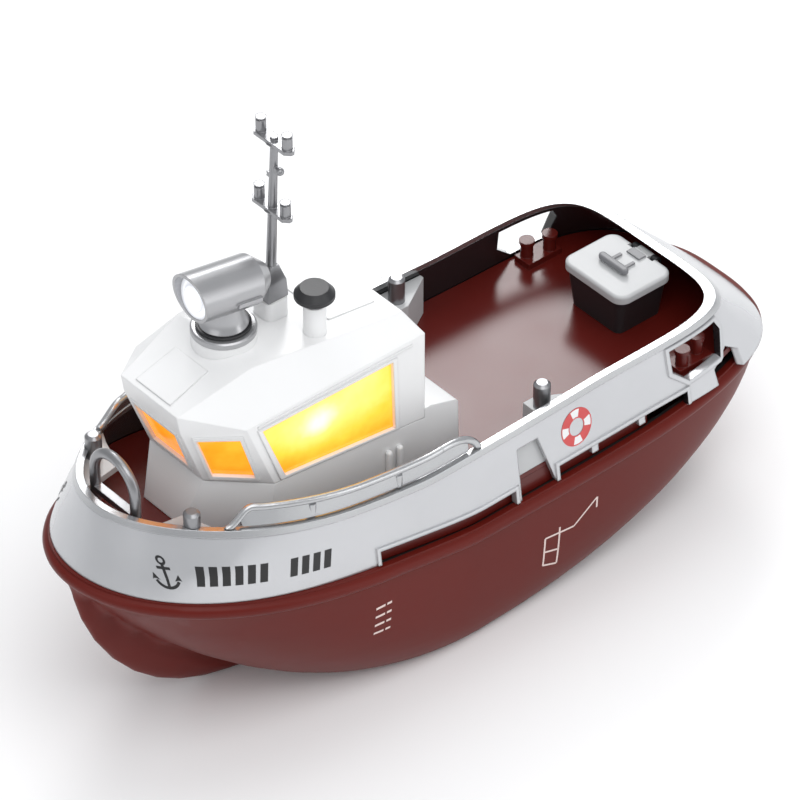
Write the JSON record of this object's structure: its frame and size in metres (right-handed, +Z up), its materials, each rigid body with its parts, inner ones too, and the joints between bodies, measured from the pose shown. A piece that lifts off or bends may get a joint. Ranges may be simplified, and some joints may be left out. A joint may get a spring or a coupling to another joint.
{
  "type": "radio-controlled tug boat",
  "caption": "Twin-screw radio-controlled harbour tug with deep red hull, silver bulwark, white lit wheelhouse, roof searchlight, mast, metal bollards and a hinged stern locker.",
  "frame": {"origin": "on the flat of the keel, on the centre plane, amidships", "axes": "+X to port, +Y aft (bow towards -Y), +Z up"},
  "size_m": [0.0963, 0.2671, 0.1938],
  "materials": {
    "hull_paint": "gloss",
    "deck_paint": "satin",
    "bulwark_silver": "satin",
    "rail_silver": "satin",
    "bright_metal": "polished",
    "grey_plastic": "matte",
    "cabin_white": "satin",
    "amber_glass": "clear",
    "lamp_white": "gloss",
    "lens_clear": "clear",
    "reflector": "polished",
    "black_plastic": "matte",
    "shaft_steel": "brushed",
    "brass": "polished",
    "black_rubber": "matte",
    "battery_wrap": "satin",
    "circuit_green": "satin",
    "wire_red": "matte",
    "screw_steel": "brushed"
  },
  "bodies": {
    "boat": {"hull_shell": "hull_paint", "deck_seal": "black_rubber", "deck_plate": "deck_paint", "bulwark": "bulwark_silver", "top_rail": "rail_silver", "handrail_port": "rail_silver", "handrail_starboard": "rail_silver", "side_bollard_bases": "grey_plastic", "side_bollards": "bright_metal", "bow_brackets": "grey_plastic", "bow_bollards": "bright_metal", "bow_hoop": "bright_metal", "cabin_top": "cabin_white", "deckhouse_base": "cabin_white", "front_window": "amber_glass", "corner_windows": "amber_glass", "side_windows": "amber_glass", "searchlight_ring": "lamp_white", "searchlight_washer": "black_plastic", "mast": "bright_metal", "vent_cap": "black_plastic", "stern_locker": "black_plastic", "lid_hinge_pin": "shaft_steel", "power_switch_body": "black_plastic", "charge_socket": "shaft_steel", "motor_cradle": "black_plastic", "motor_straps": "grey_plastic", "battery_tray": "black_plastic", "battery_pack": "battery_wrap", "control_board": "circuit_green", "board_screws": "screw_steel", "deck_screws": "screw_steel", "cabin_screws": "screw_steel", "cabin_light_board": "circuit_green", "cabin_light_stand": "black_plastic", "cabin_leds": "lens_clear", "water_contacts": "brass", "antenna_wire": "black_rubber", "motor_leads": "wire_red", "battery_leads": "wire_red", "stern_tube_port": "brass", "shaft_bushes_port": "brass", "motor_port": "shaft_steel", "stern_tube_starboard": "brass", "shaft_bushes_starboard": "brass", "motor_starboard": "shaft_steel"},
    "drive_port": {"propeller_port": "black_plastic", "propeller_nut_port": "brass", "propeller_shaft_port": "shaft_steel", "shaft_coupling_port": "brass"},
    "drive_starboard": {"propeller_starboard": "black_plastic", "propeller_nut_starboard": "brass", "propeller_shaft_starboard": "shaft_steel", "shaft_coupling_starboard": "brass"},
    "searchlight": {"searchlight_body": "lamp_white", "searchlight_reflector": "reflector", "searchlight_led": "lens_clear", "searchlight_lens": "lens_clear"},
    "lid": {"locker_lid": "grey_plastic"},
    "switch_knob": {"power_switch_slider": "grey_plastic"}
  },
  "joints": [
    {"name": "propeller_port_spin", "type": "hinge", "parent": "boat", "child": "drive_port", "pos_m": [0.017, 0.095, 0.0115], "axis": [0, 0.9977, -0.068], "continuous": true},
    {"name": "propeller_starboard_spin", "type": "hinge", "parent": "boat", "child": "drive_starboard", "pos_m": [-0.017, 0.095, 0.0115], "axis": [0, 0.9977, -0.068], "continuous": true},
    {"name": "searchlight_pan", "type": "hinge", "parent": "boat", "child": "searchlight", "pos_m": [0, -0.0717, 0.131], "axis": [0, 0, 1], "range_deg": [-90, 90]},
    {"name": "stern_locker_lid_hinge", "type": "hinge", "parent": "boat", "child": "lid", "pos_m": [0, 0.0994, 0.0721], "axis": [-1, 0, 0], "range_deg": [0, 45]},
    {"name": "power_switch_slide", "type": "slide", "parent": "boat", "child": "switch_knob", "axis": [1, 0, 0], "range_m": [0, 0.0017]}
  ]
}
